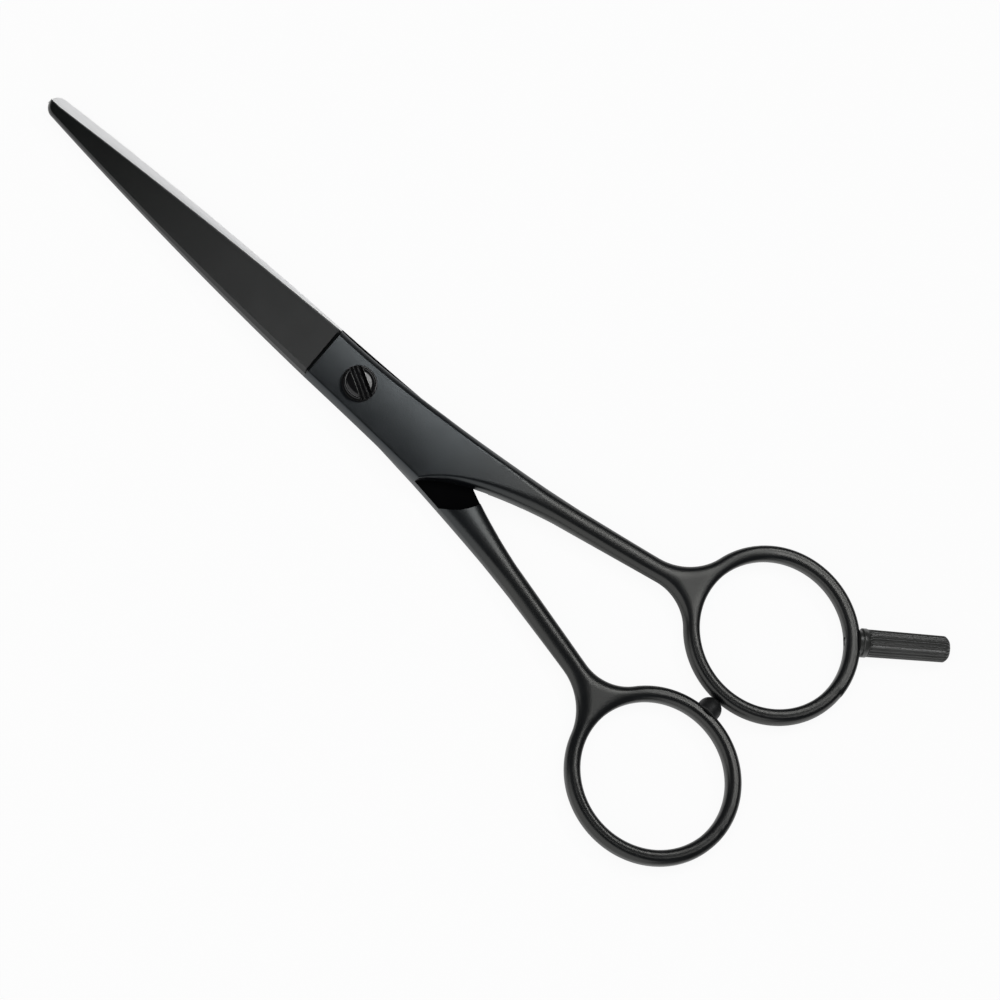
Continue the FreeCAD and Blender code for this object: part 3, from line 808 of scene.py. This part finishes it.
# A thin paler line beside the slot, on the top of the head only: a painted highlight, for the glint
# of light along the slot's lips.
LIP_OFFSET, LIP_GLINT_WIDTH, LIP_DEPTH = 0.03, (0.00001, 0.00005), 0.2
off_middle = screw_maths(tree, "ABSOLUTE", parts.outputs["Y"], 0.0)
off_lip = screw_maths(tree, "SUBTRACT", off_middle, (SLOT_WIDTH / 2 + LIP_OFFSET) * MM)
near_lip = spread(tree, screw_maths(tree, "ABSOLUTE", off_lip, 0.0), *LIP_GLINT_WIDTH, 1.0, 0.0)
above = screw_maths(tree, "GREATER_THAN", parts.outputs["Z"], (TOP - LIP_DEPTH) * MM)
lip_glint = screw_maths(tree, "MULTIPLY", near_lip, above)
lip_glint = screw_maths(tree, "MULTIPLY", lip_glint, spread(tree, marks, 0.35, 0.6, 0.3, 1.0))
tree.links.new(tint(tree, lip_glint, (0.002, 0.002, 0.0022), (0.22, 0.22, 0.21)),
               shader.inputs["Base Color"])
bumps(tree, shader, marks, 0.0000003)
slot_steel, tree, shader, marks, across = screw_steel("slot_floor_steel", rough=0.12, gloss=0.42)
tree.links.new(tint(tree, marks, (0.001, 0.001, 0.0011), (0.002, 0.002, 0.0022)),
               shader.inputs["Base Color"])
lines = tree.nodes.new("ShaderNodeTexWave")
lines.bands_direction = "Y"
for socket, number in (("Scale", 470), ("Distortion", 1.2), ("Detail Scale", 3.0)):
    lines.inputs[socket].default_value = number
tree.links.new(across, lines.inputs["Vector"])
bumps(tree, shader, lines.outputs["Fac"], 0.000008)
screw.materials.clear()
screw.materials.append(dark_steel)
screw.materials.append(slot_steel)
for face in screw.polygons:
    on_floor = abs(face.center.z - (TOP - SLOT_DEPTH) * MM) < 0.02 * MM
    face.material_index = int(on_floor)
add_piece(screw, "tension_screw", "screw_steel", "pivot_screw")

# The studio: a pale table, a narrow soft box beyond the finger side, a broad card in front, a fill
# lamp overhead that the steel doesn't mirror, a dim room and a long lens from above.
FLOOR_SIZE = 12.0
floor_mesh = bpy.data.meshes.new("pale_table")
half = FLOOR_SIZE / 2
floor_mesh.from_pydata([(-half, -half, 0), (half, -half, 0), (half, half, 0), (-half, half, 0)], [],
                       [(0, 1, 2, 3)])
floor = bpy.data.objects.new("pale_table", floor_mesh)
bpy.context.scene.collection.objects.link(floor)
pale = bpy.data.materials.new("pale_table")
pale.use_nodes = True
tree = pale.node_tree
tree.nodes.clear()
output, matte, glow, blend = (tree.nodes.new(kind) for kind in (
    "ShaderNodeOutputMaterial", "ShaderNodeBsdfDiffuse", "ShaderNodeEmission",
    "ShaderNodeMixShader"))
matte.inputs["Color"].default_value = (0.9, 0.9, 0.9, 1)
glow.inputs["Strength"].default_value = 1.0
rays = tree.nodes.new("ShaderNodeLightPath")
seen, mirrored, either = (tree.nodes.new("ShaderNodeMath") for _ in range(3))
seen.operation, mirrored.operation, either.operation = "MULTIPLY", "MULTIPLY", "MAXIMUM"
GLOW_SEEN, GLOW_MIRRORED = 0.93, 0.6    # the table's own glow, to the camera and in reflections
seen.inputs[1].default_value, mirrored.inputs[1].default_value = GLOW_SEEN, GLOW_MIRRORED
tree.links.new(rays.outputs["Is Camera Ray"], seen.inputs[0])
tree.links.new(rays.outputs["Is Glossy Ray"], mirrored.inputs[0])
tree.links.new(seen.outputs[0], either.inputs[0])
tree.links.new(mirrored.outputs[0], either.inputs[1])
tree.links.new(either.outputs[0], blend.inputs["Fac"])
tree.links.new(matte.outputs[0], blend.inputs[1])
tree.links.new(glow.outputs[0], blend.inputs[2])
tree.links.new(blend.outputs[0], output.inputs["Surface"])
floor_mesh.materials.append(pale)

LOOK_AT = Vector((25.82, 2.31, MID_HEIGHT)) * MM


def soft_box(name, towards, away, size, radiance, shines=True):
    """An area lamp that faces the shears; its power follows from its size and brightness."""
    lamp = bpy.data.lights.new(name, "AREA")
    lamp.shape, lamp.size, lamp.size_y = "RECTANGLE", *size
    lamp.energy = radiance * math.pi * size[0] * size[1]
    thing = bpy.data.objects.new(name, lamp)
    bpy.context.scene.collection.objects.link(thing)
    way = Vector(towards).normalized()
    thing.location = LOOK_AT + way * away
    thing.rotation_euler = way.to_track_quat("Z", "X").to_euler()
    thing.visible_camera = False
    thing.visible_glossy = shines


soft_box("strip_light", towards=(0.12, 0.545, 0.84), away=0.6, size=(0.08, 0.28), radiance=7.0)
soft_box("front_card", towards=(0, -0.87, 0.5), away=0.9, size=(1.0, 2.4), radiance=0.9)
soft_box("overhead_fill", towards=(-0.2, -0.1, 1.0), away=1.2, size=(1.0, 1.0), radiance=2.2,
         shines=False)

world = bpy.data.worlds.new("dim_studio")
bpy.context.scene.world = world
world.use_nodes = True
room = world.node_tree.nodes["Background"]
room.inputs["Color"].default_value = (0.06, 0.062, 0.065, 1)
room.inputs["Strength"].default_value = 1.0

LENS, SENSOR, PICTURE_WIDTH = 1000.0, 36.0, 140.2
TILT, TURN, ROLL = (math.radians(a) for a in (24.5, 8.587, 50.0))
along = Vector((math.cos(TURN), -math.sin(TURN), 0))
up_the_table = (Vector((math.sin(TURN), math.cos(TURN), 0)) * math.cos(TILT)
                + Vector((0, 0, math.sin(TILT))))
right = along * math.cos(ROLL) + up_the_table * math.sin(ROLL)
upward = up_the_table * math.cos(ROLL) - along * math.sin(ROLL)
back = right.cross(upward)
camera_data = bpy.data.cameras.new("camera")
camera_data.lens, camera_data.sensor_width = LENS, SENSOR
camera_data.clip_start, camera_data.clip_end = 0.1, 50.0
camera = bpy.data.objects.new("camera", camera_data)
bpy.context.scene.collection.objects.link(camera)
place = Matrix((right, upward, back)).transposed().to_4x4()
place.translation = LOOK_AT + back * (PICTURE_WIDTH * MM * LENS / SENSOR)
camera.matrix_world = place
bpy.context.scene.camera = camera
bpy.context.scene.view_settings.view_transform = "Standard"
